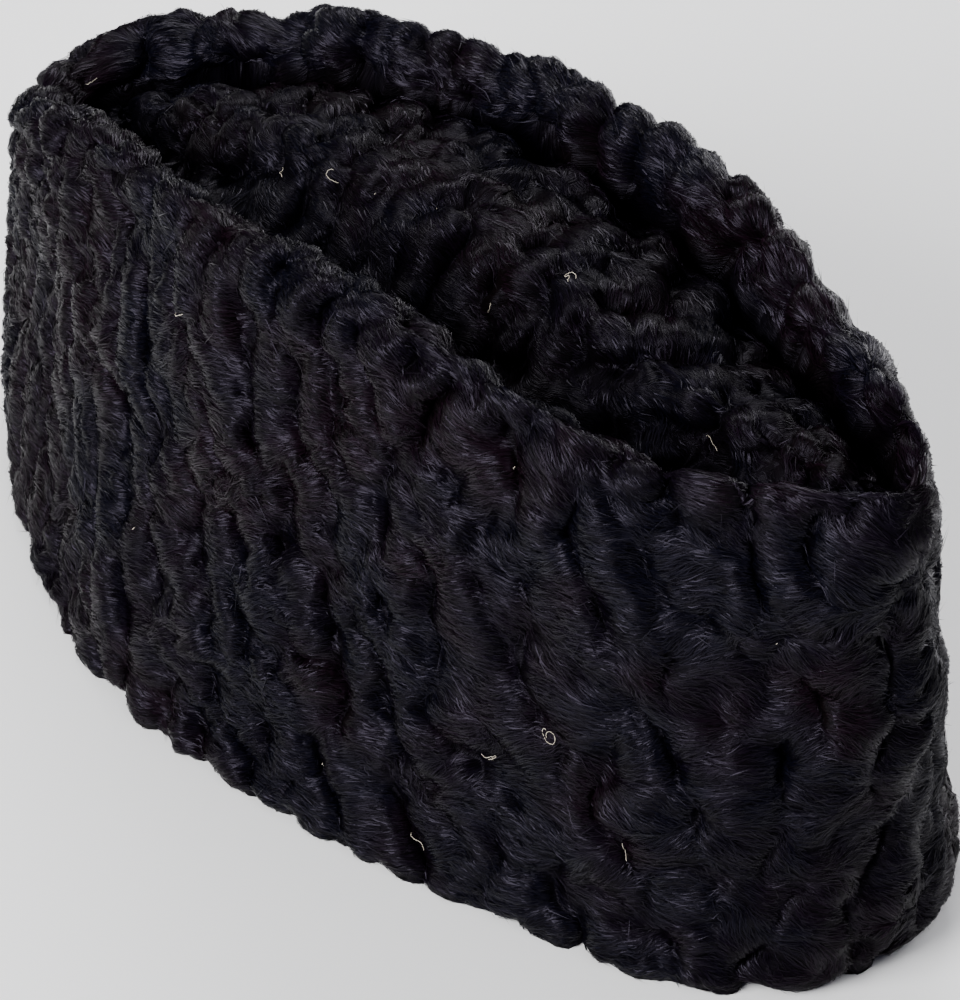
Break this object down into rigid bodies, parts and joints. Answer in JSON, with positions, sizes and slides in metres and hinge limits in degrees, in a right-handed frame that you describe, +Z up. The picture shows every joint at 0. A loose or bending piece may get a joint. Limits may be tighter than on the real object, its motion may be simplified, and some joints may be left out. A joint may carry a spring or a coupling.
{
  "type": "karakul cap",
  "caption": "Boat-shaped fur cap with a tall curled lambskin wall, a rolled rim and a folded-in crown between two creases; open head hollow below.",
  "frame": {"origin": "on the ground plane, under the middle of the bounding box of the standing cap", "axes": "+X towards the blunt front end, +Y towards the cap's left wall, +Z up out of the crown"},
  "size_m": [0.2636, 0.1418, 0.1195],
  "materials": {
    "karakul_pelt": "black curled lamb fur with a soft sheen",
    "crown_pelt": "black curled lamb fur, a little flatter than the wall's"
  },
  "bodies": {
    "root": {"side_band": "karakul_pelt", "crown": "crown_pelt"}
  },
  "joints": []
}
